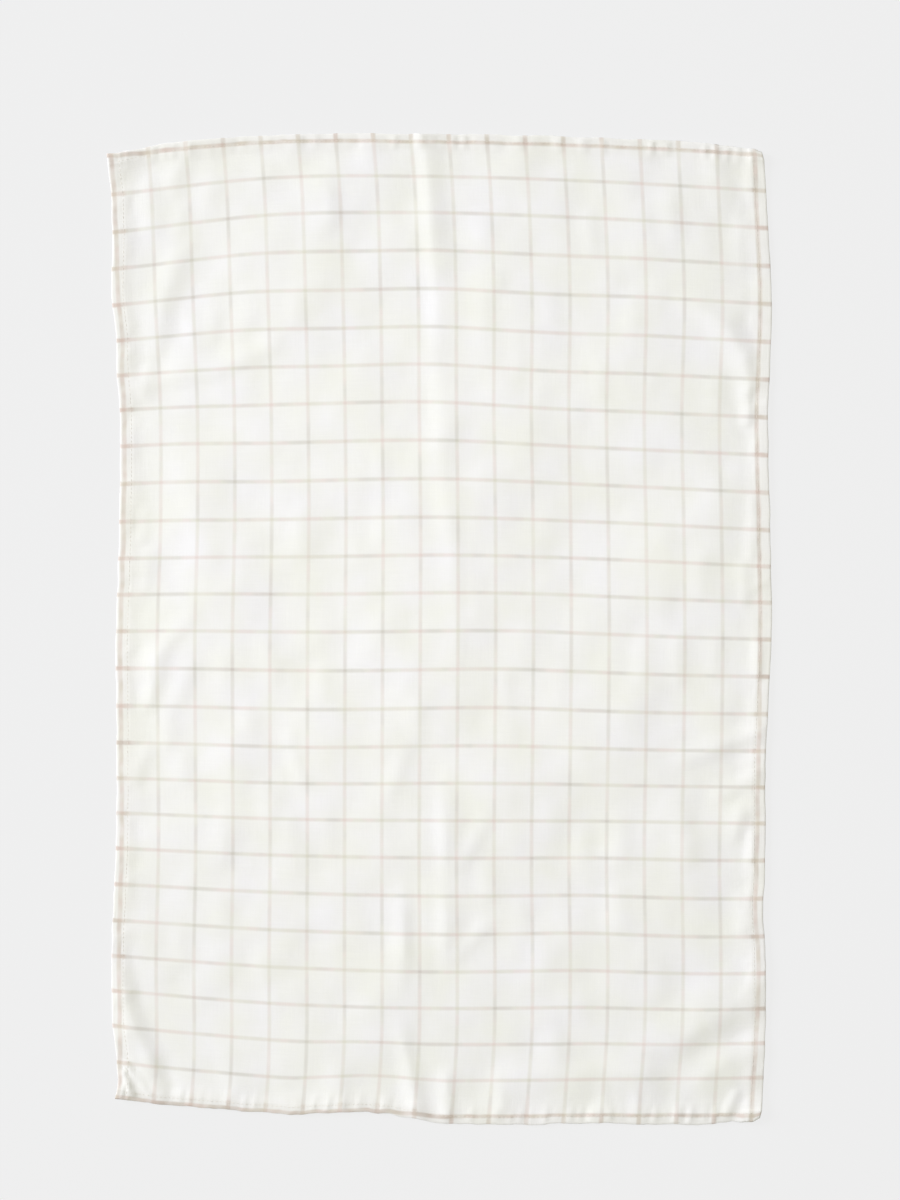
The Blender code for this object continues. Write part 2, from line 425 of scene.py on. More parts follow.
def random_rolls(x, y, crosswise, lengthwise, turned, seed):
    """A smooth random surface between 0 and 1, with a hill or a hollow about every `crosswise` by
    `lengthwise`, turned by so many radians."""
    values = np.random.default_rng(seed).random((ROLL_VALUES, ROLL_VALUES))
    on_x = (x * math.cos(turned) - y * math.sin(turned)) / crosswise + ROLL_START
    on_y = (x * math.sin(turned) + y * math.cos(turned)) / lengthwise + ROLL_START
    i, j = np.floor(on_x).astype(int), np.floor(on_y).astype(int)
    share_x, share_y = fade(on_x - i), fade(on_y - j)
    i, j = i % ROLL_VALUES, j % ROLL_VALUES
    next_i, next_j = (i + 1) % ROLL_VALUES, (j + 1) % ROLL_VALUES
    low = values[i, j] * (1 - share_x) + values[next_i, j] * share_x
    high = values[i, next_j] * (1 - share_x) + values[next_i, next_j] * share_x
    return low * (1 - share_y) + high * share_y


# --- Where the cloth lies -----------------------------------------------------
CREST_ROUND = 1.6           # a fold's crest is sharp at 1 and round at 2
PUCKER_FINE = 0.7           # finer puckers lie between the main ones, this much closer together
PUCKER_SHARES = (1.3, 0.4)  # how much the main and the finer ones give
PUCKER_GROUP = 7.0          # puckers are stronger and weaker over about this many of them
UNDER_FLATTER = 0.75        # share of the puckers that the layers under the face do not take part in
LEAN_REACH = 20.0           # how far in from a hem its lean dies out
LEAN_VARIES = 26.0          # a hem leans more and less over about this much of its length
LEAN_SEED = 71
SCALLOP_FINE = 0.5          # smaller scallops lie between the main ones, this much closer and less deep
SCALLOP_FINE_SEED = 50


def weave_at(from_left, from_top):
    """The place in the woven check of a point at these distances from the left and top edges."""
    down, middle = from_top / FINISHED_LONG, from_left / FINISHED_WIDE
    line = down * LINES_DOWN
    for _ in range(2):      # the hems' width depends a little on the place, so it is worked out twice
        hem_left, hem_right = along("hem_left", line) / CHECK, along("hem_right", line) / CHECK
        across = (middle * (LINES_ACROSS + hem_left + hem_right) - hem_left) / LINES_ACROSS
        top = -end_hem("top", across) / CHECK
        bottom = LINES_DOWN + end_hem("bottom", across) / CHECK
        line = top + down * (bottom - top)
    return across, line


def lay(across, line):
    """Where that place in the check lies on the table."""
    rises = (along("left", line), along("quarter", line), 0.0 * line,
             along("three_quarter", line), along("right", line))
    y = along("y", line) + blend_across((0.0, 0.25, 0.5, 0.75, 1.0), rises, across)
    reaches = (along("x_first", line), along("x_mid", line), along("x_last", line))
    x = blend_across((0.0, 0.5, 1.0), reaches, across)
    right, up = np.zeros_like(x), np.zeros_like(y)
    for tug_x, tug_y, reach, move_right, move_up in TUGS:
        pull = np.clip(1.0 - ((x - tug_x) ** 2 + (y - tug_y) ** 2) / reach ** 2, 0.0, 1.0) ** 2
        right += pull * move_right
        up += pull * move_up
    return x + right, y + up


def ridge(x, y, start, end):
    """Height of one stretch of a fold: each end is (x, y, high, left, right)."""
    run = np.array(end[:2]) - np.array(start[:2])
    length = math.hypot(*run)
    part = np.clip(((x - start[0]) * run[0] + (y - start[1]) * run[1]) / length ** 2, 0.0, 1.0)
    off_x, off_y = x - start[0] - part * run[0], y - start[1] - part * run[1]
    high, left, right = (start[i] + part * (end[i] - start[i]) for i in (2, 3, 4))
    to_left = run[1] * off_x - run[0] * off_y
    to_left = to_left if run[1] < 0.0 or (run[1] == 0.0 and run[0] < 0.0) else -to_left
    lean = fade(0.5 + 2.0 * to_left / (length * (left + right)))
    reach = right + lean * (left - right)
    away = np.hypot(off_x, off_y) / reach
    return high * np.clip(1.0 - away ** CREST_ROUND, 0.0, 1.0) ** 2


def relief(x, y):
    """Height of the named folds and creases above the table."""
    squares = np.zeros_like(x)
    for sections in FOLDS.values():
        fold = np.zeros_like(x)
        for start, end in zip(sections, sections[1:]):
            fold = np.maximum(fold, ridge(x, y, start, end))
        squares += fold ** 2
    for x0, y0, x1, y1, left, right, high in CREASES:
        squares += ridge(x, y, (x0, y0, high, left, right), (x1, y1, high, left, right)) ** 2
    return np.sqrt(squares)


def rolls(x, y):
    """Height of the soft rolls that all laid linen has."""
    return sum(high * random_rolls(x, y, crosswise, lengthwise, turned, seed)
               for crosswise, lengthwise, turned, high, seed in ROLLS)


def from_hem(hem, from_left, from_top):
    """How far in from a hem's edge points are, how far along it, and how wide that hem is."""
    return {
        "top": (from_top, from_left, END_HEM),
        "bottom": (FINISHED_LONG - from_top, from_left, END_HEM),
        "left": (from_left, from_top, SIDE_HEM),
        "right": (FINISHED_WIDE - from_left, from_top, SIDE_HEM),
    }[hem]


def puckers(from_left, from_top):
    """Height of the small gathers that the stitching draws up along each hem."""
    total = np.zeros_like(from_left)
    main, finer = PUCKER_SHARES
    for hem, high, spacing, lean, reach, seed in PUCKERS:
        inward, beside, wide = from_hem(hem, from_left, from_top)
        wave = random_curve(beside + lean * inward, spacing, seed)
        fine = random_curve(beside - lean * inward, spacing * PUCKER_FINE, seed + 1)
        strength = 0.5 + 0.5 * random_curve(beside, spacing * PUCKER_GROUP, seed + 2)
        fall = 1.0 - fade((inward - wide) / reach)
        total += high * strength * (main * wave ** 2 + finer * fine) * fall
    return total


def leans(from_left, from_top):
    """Height by which whole hems lean, some up to their stitching and some up to their fold."""
    total = np.zeros_like(from_left)
    for hem, at_fold, at_stitching in HEM_LEANS:
        inward, beside, wide = from_hem(hem, from_left, from_top)
        rising = at_fold + (at_stitching - at_fold) * fade(inward / wide)
        strength = 0.5 + random_curve(beside, LEAN_VARIES, LEAN_SEED)
        total += rising * (1.0 - fade((inward - wide) / LEAN_REACH)) * strength
    return total


def draw_in(from_left, from_top):
    """Move points in a little from the edges, where the stitching has drawn the hems in."""
    moved = {}
    for hem, deep, spacing, seed in SCALLOPS:
        inward, beside, wide = from_hem(hem, from_left, from_top)
        fine = random_curve(beside, spacing * SCALLOP_FINE, seed + SCALLOP_FINE_SEED)
        wave = random_curve(beside, spacing, seed) + SCALLOP_FINE * fine
        moved[hem] = deep * wave * (1.0 - fade(inward / (2.0 * wide)))
    return from_left + moved["left"] - moved["right"], from_top + moved["top"] - moved["bottom"]


# --- The turned hem -----------------------------------------------------------
STEP_SHARE = 0.38           # of a hem's height that the face comes down at once, beside the inner edge
STEP_LONG = 2.4
RAMP_LEAST = 6.0            # it comes down the rest within this at least
RAMP_MORE = 14.0            # and up to this much more, which varies along the hem
RAMP_VARIES = 19.0          # over about this much of its length
RAMP_SEED = 61
GROOVE_DEEP = 0.11          # the stitching draws the face down by about this
GROOVE_WIDE = 1.3
TIGHT_LEAST = 0.3           # where it is loosest, this many times that
TIGHT_MORE = 1.1            # and where it is tightest, so many times more
TIGHT_VARIES = 4.0
SWELL_HIGH = 0.06           # the cloth swells up to twice this beside the stitching
SWELL_AWAY = 3.8            # this far in from it
SWELL_WIDE = 2.6
SWELL_VARIES = 9.0
SIDE_SEED = 31
END_SEED = 37


def turned_under(wide):
    """How much cloth a hem of this width takes."""
    return OUTER_TURN + wide + INNER_TURN + wide - TUCKED_LESS


def turn_under(inward, wide, beside, thick, off_middle):
    """Fold an edge under twice, into a hem of this width.

    inward is the flat cloth's distance in from the edge's fold, below zero for what is turned under, and
    beside is the distance along the edge. thick is the thickness of what is folded there, and off_middle a
    point's height above the middle of it. Gives the point's distance in from the fold, its height above the
    table, and how much of the hem is below it.
    """
    ramp_long = RAMP_LEAST + RAMP_MORE * random_curve(beside, RAMP_VARIES, RAMP_SEED)
    step = fade((inward - wide) / STEP_LONG)
    ramp = fade((inward - wide) / ramp_long)
    in_hem = 1.0 - STEP_SHARE * step - (1.0 - STEP_SHARE) * ramp
    face_high = 0.5 * thick + 2.0 * thick * in_hem + off_middle
    outer = np.clip(-inward / OUTER_TURN, 0.0, 1.0) * math.pi
    outer_reach = thick + off_middle
    back_in = -inward - OUTER_TURN
    inner = np.clip((back_in - wide) / INNER_TURN, 0.0, 1.0) * math.pi
    inner_reach = 0.5 * thick + off_middle
    tuck_in = wide - (back_in - wide - INNER_TURN)

    # The face, the outer fold, the back, the inner fold, and else what is tucked in between.
    cases = [inward >= 0.0, back_in < 0.0, back_in < wide, back_in < wide + INNER_TURN]
    inset = np.select(cases, [
        inward, -outer_reach * np.sin(outer), back_in, wide + inner_reach * np.sin(inner)], tuck_in)
    height = np.select(cases, [
        face_high, 1.5 * thick + outer_reach * np.cos(outer), 0.5 * thick - off_middle,
        thick - inner_reach * np.cos(inner)], 1.5 * thick + off_middle)
    return inset, height, np.where(inward >= 0.0, in_hem, 1.0)


def hem_shape(inward, wide, beside, seed):
    """The stitching draws the hem's face down, here and there more, and the cloth beside it swells."""
    past_stitching = inward - (wide - STITCH_BACK)
    groove = GROOVE_DEEP * np.exp(-(past_stitching / GROOVE_WIDE) ** 2)
    swell = SWELL_HIGH * np.exp(-((past_stitching - SWELL_AWAY) / SWELL_WIDE) ** 2)
    uneven = 2.0 * random_curve(beside, SWELL_VARIES, seed)
    tight = TIGHT_LEAST + TIGHT_MORE * random_curve(beside, TIGHT_VARIES, seed + 3)
    return np.where(inward >= 0.0, swell * uneven - groove * tight, 0.0)


def fold_and_lay(flat_x, flat_y):
    """Take points of the flat cut cloth to their places in the hemmed, laid towel.

    flat_x and flat_y are distances from the finished left and top edges, below zero or past the finished
    size for cloth that is turned under. Gives x, y and z in millimetres and how much hem lies under each.
    """
    past_middle = flat_x > FINISHED_WIDE / 2
    side_in = np.where(past_middle, FINISHED_WIDE - flat_x, flat_x)
    side_inset, side_high, side_hem = turn_under(side_in, SIDE_HEM, flat_y, LAYER, 0.0)
    side_high = side_high + hem_shape(side_in, SIDE_HEM, flat_y, SIDE_SEED)
    stack = LAYER * (1.0 + 2.0 * side_hem)
    low_half = flat_y > FINISHED_LONG / 2
    end_in = np.where(low_half, FINISHED_LONG - flat_y, flat_y)
    end_inset, height, end_hem_share = turn_under(end_in, END_HEM, flat_x, stack, side_high - 0.5 * stack)
    height = height + hem_shape(end_in, END_HEM, flat_x, END_SEED)

    from_left = np.where(past_middle, FINISHED_WIDE - side_inset, side_inset)
    from_top = np.where(low_half, FINISHED_LONG - end_inset, end_inset)
    x, y = lay(*weave_at(*draw_in(from_left, from_top)))
    under = np.clip(-np.minimum(side_in, end_in) / OUTER_TURN, 0.0, 1.0)
    gathered = puckers(from_left, from_top) * (1.0 - UNDER_FLATTER * under)
    height = height + relief(x, y) + rolls(x, y) + gathered + leans(from_left, from_top)
    return x, y, height, np.maximum(side_hem, end_hem_share)


# --- Cutting the cloth --------------------------------------------------------
SQUARE = CHECK / 3.5        # the flat cloth's mesh before it is made finer
THIRDS = (0.67, 0.33)       # lines round the fold at a hem's inner edge
BACK_LINES = (0.0, 0.33, 0.67)              # across the back of a hem, as shares of its width
TURN_LINES = (-1.2, -0.9, -0.6, -0.3, 0.0, 1.2)             # round its outer fold, in from the fold
STITCH_LINES = (-4.0, -2.5, -1.6, -0.8, 0.2, 1.3, 2.6, 4.4, 7.0, 11.0)      # in from its inner edge
BORDER = 27.0               # how far in the fine mesh of the hems goes
BORDER_FINE = 2.1           # longest edge along the hems
PLAIN_FINE = 4.9            # longest edge anywhere on the face
SHARP_FINE = 2.5            # longest edge on a high fold
HIGH_RELIEF = 0.7
OUTLINE_POINTS = 400        # on each side of the outline, where its middle is worked out


def line_stations(finished, wide):
    """Distances of the flat mesh's lines from one finished edge, from raw edge to raw edge."""
    back = -OUTER_TURN - wide
    raw = -turned_under(wide)
    tucked = back - INNER_TURN
    hem = np.concatenate([[raw, (raw + tucked) / 2, tucked], back - INNER_TURN * np.array(THIRDS),
                          back + wide * np.array(BACK_LINES), TURN_LINES, wide + np.array(STITCH_LINES)])
    between = np.linspace(BORDER, finished - BORDER, round((finished - 2 * BORDER) / SQUARE) + 1)
    return np.concatenate([hem, between, finished - hem[::-1]])


def refine(cloth, longest, zone):
    """Halve the long edges of a zone, up to three times, until none there is longer than `longest`."""
    for _ in range(3):
        spots = np.array([vert.co[:2] for vert in cloth.verts])
        inside = zone(spots[:, 0], spots[:, 1])
        cloth.verts.index_update()
        long_edges = [edge for edge in cloth.edges
                      if inside[edge.verts[0].index] and inside[edge.verts[1].index]
                      and edge.calc_length() > longest]
        if not long_edges:
            return
        bmesh.ops.subdivide_edges(cloth, edges=long_edges, cuts=1, use_grid_fill=True)


def near_hem(flat_x, flat_y):
    """Whether points lie on a hem's face, its outer fold or the cloth beside it."""
    from_sides = np.minimum(flat_x, FINISHED_WIDE - flat_x)
    from_ends = np.minimum(flat_y, FINISHED_LONG - flat_y)
    inward = np.minimum(from_sides, from_ends)
    return (inward > -OUTER_TURN - 0.1) & (inward < BORDER)


def on_face(flat_x, flat_y):
    """Whether points lie on the face that shows."""
    return (flat_x > 0) & (flat_x < FINISHED_WIDE) & (flat_y > 0) & (flat_y < FINISHED_LONG)


def on_high_fold(flat_x, flat_y):
    """Whether points lie where a fold or crease stands high."""
    return on_face(flat_x, flat_y) & (relief(*lay(*weave_at(flat_x, flat_y))) > HIGH_RELIEF)


def make_cloth(material):
    """The whole cloth, from the face round its folds to the raw edges tucked in its hems."""
    columns, rows = line_stations(FINISHED_WIDE, SIDE_HEM), line_stations(FINISHED_LONG, END_HEM)
    cloth = bmesh.new()
    bmesh.ops.create_grid(cloth, x_segments=len(columns) - 1, y_segments=len(rows) - 1, size=0.5)
    for vert in cloth.verts:
        column_number = round((vert.co.x + 0.5) * (len(columns) - 1))
        row_number = round((0.5 - vert.co.y) * (len(rows) - 1))
        vert.co = (columns[column_number], rows[row_number], 0.0)
    refine(cloth, PLAIN_FINE, on_face)
    refine(cloth, SHARP_FINE, on_high_fold)
    refine(cloth, BORDER_FINE, near_hem)

    mesh = bpy.data.meshes.new("linen_cloth")
    cloth.to_mesh(mesh)
    cloth.free()
    flat = np.empty(len(mesh.vertices) * 3)
    mesh.vertices.foreach_get("co", flat)
    flat_x, flat_y = flat[0::3].copy(), flat[1::3].copy()
    x, y, z, hem_share = fold_and_lay(flat_x, flat_y)
    mesh.vertices.foreach_set("co", (np.column_stack([x - CENTRE[0], y - CENTRE[1], z]) * MM).ravel())

    across, line = weave_at(flat_x, flat_y)
    corner = np.empty(len(mesh.loops), dtype=np.int32)
    mesh.loops.foreach_get("vertex_index", corner)
    weave = mesh.uv_layers.new(name="weave")
    weave.data.foreach_set("uv", np.column_stack([across * LINES_ACROSS, line])[corner].ravel())
    hem = mesh.attributes.new("hem", "FLOAT", "POINT")
    hem.data.foreach_set("value", hem_share)
    mesh.materials.append(material)
    mesh.shade_smooth()

    piece = bpy.data.objects.new("linen_cloth", mesh)
    bpy.context.scene.collection.objects.link(piece)
    solidify = piece.modifiers.new("Thickness", "SOLIDIFY")
    solidify.thickness = CLOTH_THICK * MM
    solidify.offset = 0.0
    return piece


def outline_centre():
    """The middle of the finished outline's box, which the solid has at the origin."""
    side = np.linspace(0.0, 1.0, OUTLINE_POINTS)
    from_left = np.concatenate([side * 0, side * 0 + 1, side, side]) * FINISHED_WIDE
    from_top = np.concatenate([side, side, side * 0, side * 0 + 1]) * FINISHED_LONG
    x, y = lay(*weave_at(from_left, from_top))
    return (x.min() + x.max()) / 2, (y.min() + y.max()) / 2


CENTRE = outline_centre()


# --- Nodes --------------------------------------------------------------------
MATH, MIX, RANGE = "ShaderNodeMath", "ShaderNodeMix", "ShaderNodeMapRange"


def add_node(tree, kind, links=(), **settings):
    """Add a node with its settings, and give each input a value, a socket or a node's first output."""
    node = tree.nodes.new(kind)
    for key, value in settings.items():
        setattr(node, key, value)
    for socket, source in dict(links).items():
        if isinstance(source, bpy.types.Node):
            source = next(output for output in source.outputs if output.enabled)
        if isinstance(source, bpy.types.NodeSocket):
            tree.links.new(source, node.inputs[socket])
        else:
            node.inputs[socket].default_value = source
    return node


# --- Stitching ----------------------------------------------------------------
STITCHES = {
    "Pitch": 3.1 * MM,          # from one stitch to the next
    "Length": 2.3 * MM,         # one stitch
    "Thickness": 0.32 * MM,
    "Unevenness": 0.18,         # share by which a stitch may be smaller than the largest
}
STITCH_WOBBLE = (0.14, 0.05, 0.05)          # how far a stitch may be turned, in radians
STITCH_LIFT = 0.08          # the thread stands this far out of the cloth's surface, in millimetres
PATH_DOWN = 900             # points on the path of a side hem's stitching
PATH_OVER = 600             # and of an end hem's


def stitch_path(name, from_left, from_top):
    """The line that one hem's stitching follows, on the face of the cloth."""
    x, y, z, _ = fold_and_lay(from_left, from_top)
    z = z + CLOTH_THICK / 2 + STITCH_LIFT
    mesh = bpy.data.meshes.new(name)
    points = np.column_stack([x - CENTRE[0], y - CENTRE[1], z]) * MM
    mesh.from_pydata(points.tolist(), [(i, i + 1) for i in range(len(points) - 1)], [])
    path = bpy.data.objects.new(name, mesh)
    bpy.context.scene.collection.objects.link(path)
    return path


def stitch_tree(material):
    """Geometry nodes that lay one stitch after another along a path."""
    tree = bpy.data.node_groups.new("stitching", "GeometryNodeTree")
    face = tree.interface
    face.new_socket("Path", in_out="INPUT", socket_type="NodeSocketGeometry")
    for name in STITCHES:
        face.new_socket(name, in_out="INPUT", socket_type="NodeSocketFloat")
    face.new_socket("Stitches", in_out="OUTPUT", socket_type="NodeSocketGeometry")

    given = add_node(tree, "NodeGroupInput").outputs
    path = add_node(tree, "GeometryNodeMeshToCurve", {"Mesh": given["Path"]})
    even = add_node(tree, "GeometryNodeResampleCurve", {
        "Curve": path, "Length": given["Pitch"]}, mode="LENGTH")
    points = add_node(tree, "GeometryNodeCurveToPoints", {"Curve": even}, mode="EVALUATED")
    bead = add_node(tree, "GeometryNodeMeshUVSphere", {"Segments": 8, "Rings": 6, "Radius": 0.5})
    size = add_node(tree, "ShaderNodeCombineXYZ", {
        "X": given["Thickness"], "Y": given["Thickness"], "Z": given["Length"]})
    thread = add_node(tree, "GeometryNodeTransform", {"Geometry": bead, "Scale": size})
    most = Vector(STITCH_WOBBLE)
    wobble = add_node(tree, "FunctionNodeRandomValue", {
        "Min": -most, "Max": most, "Seed": 4}, data_type="FLOAT_VECTOR")
    turned = add_node(tree, "FunctionNodeRotateRotation", {
        "Rotation": points.outputs["Rotation"], "Rotate By": wobble}, rotation_space="LOCAL")
    least = add_node(tree, MATH, {0: 1.0, 1: given["Unevenness"]}, operation="SUBTRACT")
    uneven = add_node(tree, "FunctionNodeRandomValue", {
        "Min": least, "Max": 1.0, "Seed": 9}, data_type="FLOAT")
    placed = add_node(tree, "GeometryNodeInstanceOnPoints", {
        "Points": points, "Instance": thread, "Rotation": turned, "Scale": uneven})
    real = add_node(tree, "GeometryNodeRealizeInstances", {"Geometry": placed})
    smooth = add_node(tree, "GeometryNodeSetShadeSmooth", {"Geometry": real, "Shade Smooth": True})
    coloured = add_node(tree, "GeometryNodeSetMaterial", {"Geometry": smooth, "Material": material})
    add_node(tree, "NodeGroupOutput", {"Stitches": coloured})
    return tree


def make_stitching(material):
    """One line of stitches along each hem, joined into one mesh."""
    tree = stitch_tree(material)
    sockets = {item.name: item.identifier for item in tree.interface.items_tree if item.in_out == "INPUT"}
    side_in, end_in = SIDE_HEM - STITCH_BACK, END_HEM - STITCH_BACK
    down = np.linspace(end_in, FINISHED_LONG - end_in, PATH_DOWN)
    over = np.linspace(side_in, FINISHED_WIDE - side_in, PATH_OVER)
    lines = (("left", side_in + 0 * down, down), ("right", FINISHED_WIDE - side_in + 0 * down, down),
             ("top", over, end_in + 0 * over), ("bottom", over, FINISHED_LONG - end_in + 0 * over))
    joined = bmesh.new()
    for name, from_left, from_top in lines:
        path = stitch_path("stitch_path_" + name, from_left, from_top)
        modifier = path.modifiers.new("Stitches", "NODES")
        modifier.node_group = tree
        for size, value in STITCHES.items():
            modifier[sockets[size]] = value
        ready = bpy.data.meshes.new_from_object(path.evaluated_get(bpy.context.evaluated_depsgraph_get()))
        joined.from_mesh(ready)
        bpy.data.objects.remove(path)
        bpy.data.meshes.remove(ready)
    mesh = bpy.data.meshes.new("hem_stitching")
    joined.to_mesh(mesh)
    joined.free()
    mesh.materials.append(material)
    mesh.shade_smooth()
    piece = bpy.data.objects.new("hem_stitching", mesh)
    bpy.context.scene.collection.objects.link(piece)
    return piece


# --- Materials ----------------------------------------------------------------
WHITE_WARM = "#F2F2E9"      # bleached linen
WHITE_COOL = "#F4F3F2"      # the same where the bleach took best
HEM_PAINTED_SHADE = "#F0EEE6"       # painted shade laid on the three layers of a hem and on the cloth beside it, where the puckers shade them
LINE_PINK = "#E0CFC6"       # dusty pink yarn
LINE_SAND = "#D9D6C3"       # sand yarn
LINE_GREY = "#CDCAC2"       # the same yarns where they faded to stone
LINE_DEEP_AND_SHADE = "#D0BCAD"       # the lines on a hem, where three layers of dyed yarn lie on each other, darkened further with painted shade of the puckers
THREAD_PAINTED_SHADE = "#E3DDD2"    # painted shade between the strands of the sewing thread
# painted light on the strands; both are darker than the linen, as painted shade of the groove the stitching
# draws
THREAD_PAINTED_LIGHT = "#EFEBE3"

YARN = 0.62                 # one yarn and its gap; real linen has about 0.5, too fine to show
YARN_WAVE = math.pi * CHECK / YARN          # half a wave for each yarn, over one check
LINE_WIDE = 2.6             # four yarns side by side, in millimetres
LINE_SOFT = 1.8             # over which the line's edge fades, as its outer yarns are hairy
LINE_DRIFT = 0.5            # by which its edge wanders, as the slubs push its yarns about
HEM_SPREAD = 0.3            # by which it is wider each side on a hem, whose layers never quite meet
LINE_STRONG = 0.49          # how much a line covers the white, as each dyed yarn crosses white ones
WARP_FAINTER = 0.81         # the lengthwise lines are fainter by this
CROSSING_MORE = 0.30        # added where two lines cross, as dyed yarn crosses dyed yarn
DYE_LEAST, DYE_VARIES = 0.55, 0.9           # how unevenly the dye took
HEM_ONLY = 3.0              # power that keeps what is drawn on the hems off the slope beside them
HEM_SHADE_SHARE = 0.4             # how far the hems take their painted shade
HEM_DEEP_AND_SHADE = 0.45             # and their own line colour, partly the stacked dyed layers and partly painted shade
TWIST = 900.0               # scale of the thread's twist, which comes round about every 0.7 mm

# Cloudy patterns on the weave: clouds a check across and down, scale, detail, and where each starts. Slubs
# are one yarn thick and 22 or 26 mm long, bleach clouds 42 mm, dye 16 mm, fading 25 mm, and the dashed
# painted shade on the hem lines, which stands in for the puckers' shadows, 9 mm.
CLOUDS = {
    "warp slubs": (CHECK / YARN, CHECK / 22.0, 1.0, 2.0, 3.0),
    "weft slubs": (CHECK / 26.0, CHECK / YARN, 1.0, 2.0, 8.0),
    "bleach": (1.0, 1.0, 0.65, 4.0, 5.0),
    "dye": (1.0, 1.0, 1.7, 3.0, 17.0),
    "fading": (1.0, 1.0, 1.1, 2.0, 31.0),
    "painted_shade_dashes": (CHECK / 9.0, CHECK / 9.0, 1.0, 0.0, 12.0),
}

# How a cloudy pattern, which stays near the middle of its range, becomes a share of something.
SHARES = {
    "bleach": {"From Min": 0.26, "From Max": 0.74},
    "dye": {"From Min": 0.40, "From Max": 0.60},
    "fading": {"From Min": 0.50, "From Max": 0.66, "To Max": 0.7},
    "painted_shade_dashes": {"From Min": 0.34, "From Max": 0.66, "To Min": 0.34, "To Max": 0.04},
}
GRAIN = {"From Min": 0.75, "From Max": 1.35, "To Min": 0.985, "To Max": 1.012}
LINE_FADE = {"From Min": -LINE_SOFT / 2, "From Max": LINE_SOFT / 2, "To Min": 1.0, "To Max": 0.0}


def colour(sheet_hex):
    """An sRGB hex colour as linear RGBA."""
    channels = [int(sheet_hex[i:i + 2], 16) / 255 for i in (1, 3, 5)]
    return [c / 12.92 if c <= 0.04045 else ((c + 0.055) / 1.055) ** 2.4 for c in channels] + [1.0]


def new_material(name):
    """A material with no nodes yet, and its tree."""
    material = bpy.data.materials.new(name)
    material.use_nodes = True
    material.node_tree.nodes.clear()
    return material, material.node_tree


